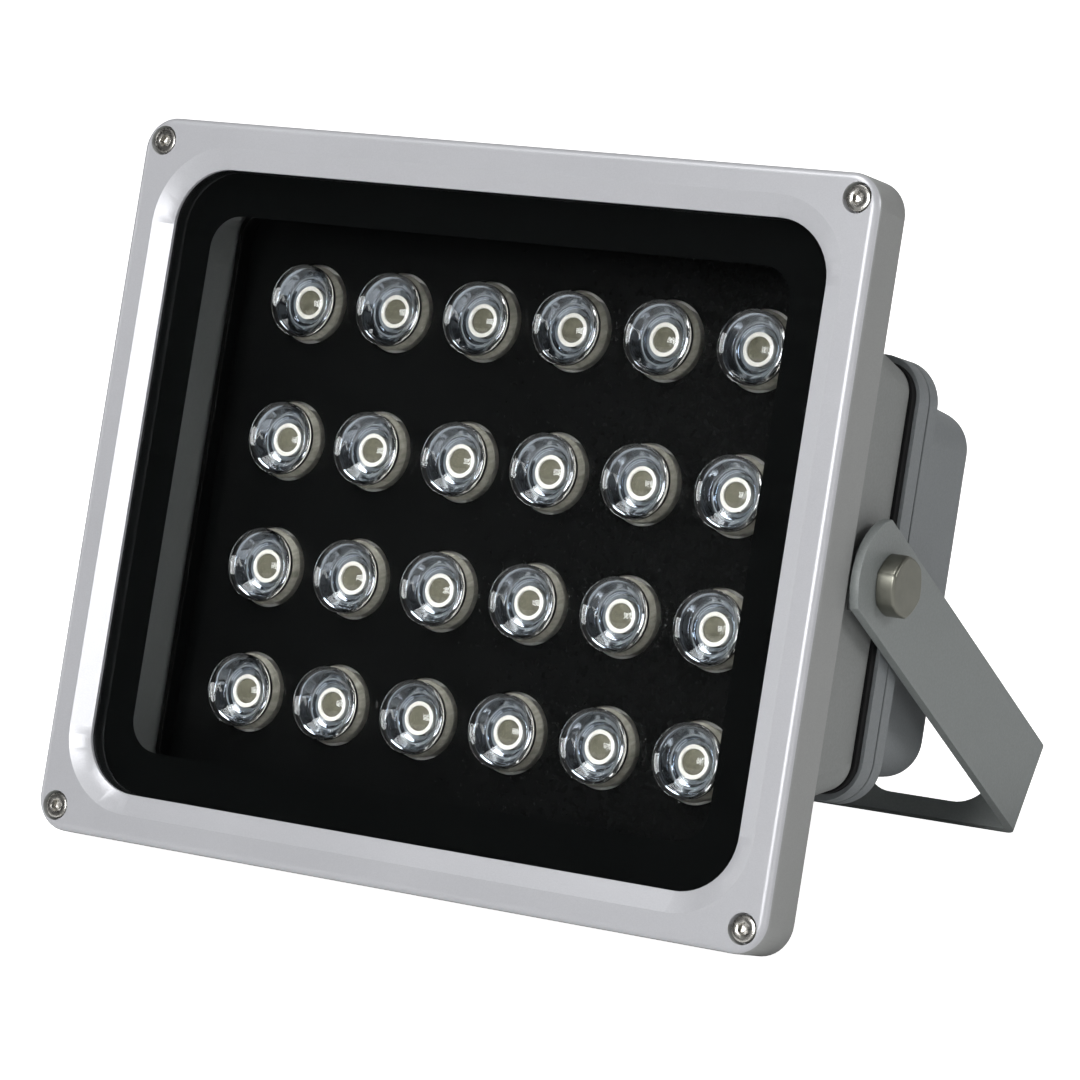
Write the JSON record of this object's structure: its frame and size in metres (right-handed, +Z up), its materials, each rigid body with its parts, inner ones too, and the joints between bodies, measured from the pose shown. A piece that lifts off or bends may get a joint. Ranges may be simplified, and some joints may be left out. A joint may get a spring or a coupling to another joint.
{
  "type": "flood light",
  "caption": "Rectangular LED flood light: bevelled cast frame with flat glass over a grid of lenses, driver box behind, and a U bracket that tilts on two bolts.",
  "frame": {"origin": "on the floor, in the middle of the footprint of the light as it stands in the picture", "axes": "+X to the right seen from the front, +Y to the back, +Z up; the glass faces -Y and leans back 19.4 degrees"},
  "size_m": [0.2414, 0.1486, 0.187],
  "materials": {
    "frame_coat": "satin silver-grey powder coat on die-cast aluminium",
    "housing_coat": "fine-textured grey powder coat on die-cast aluminium",
    "cover_coat": "fine-textured grey powder coat on die-cast aluminium",
    "bracket_coat": "grey powder coat on bent steel strap",
    "clear_glass": "clear toughened glass",
    "black_print": "black ceramic print",
    "seal_rubber": "light grey silicone",
    "dark_rubber": "black rubber",
    "plate_black": "satin black",
    "lens_clear": "clear moulded acrylic",
    "holder_grey": "satin grey-beige",
    "emitter_white": "ceramic base with pale phosphor",
    "board_white": "white solder mask on aluminium board",
    "screw_steel": "plain stainless steel",
    "bolt_zinc": "zinc plated steel, dulled",
    "driver_case": "white driver case",
    "lead_sleeve": "insulated leads",
    "terminal_body": "pale moulded plastic",
    "gland_black": "black nylon"
  },
  "bodies": {
    "lamp_head": {"front_frame": "frame_coat", "front_glass": "clear_glass", "glass_border_print": "black_print", "glass_seal": "seal_rubber", "frame_screws": "screw_steel", "main_housing": "housing_coat", "lens_cover_plate": "plate_black", "lenses": "lens_clear", "lens_holders": "holder_grey", "led_emitters": "emitter_white", "led_board": "board_white", "board_screws": "screw_steel", "rear_cover_seal": "dark_rubber", "rear_cover": "cover_coat", "rear_cover_screws": "screw_steel", "led_driver": "driver_case", "driver_screws": "screw_steel", "wire_grommet": "dark_rubber", "lead_wires": "lead_sleeve", "terminal_block": "terminal_body", "terminal_screws": "screw_steel", "driver_leads": "lead_sleeve", "gland_body": "gland_black", "gland_nut": "gland_black", "gland_cap": "gland_black", "gland_bush": "dark_rubber", "pivot_bolts": "bolt_zinc", "friction_washers": "screw_steel"},
    "bracket": {"u_bracket": "bracket_coat"}
  },
  "joints": [
    {"name": "bracket_tilt", "type": "hinge", "parent": "lamp_head", "child": "bracket", "pos_m": [0, -0.01404, 0.08485], "axis": [1, 0, 0], "range_deg": [-65.9, 114.1]}
  ]
}
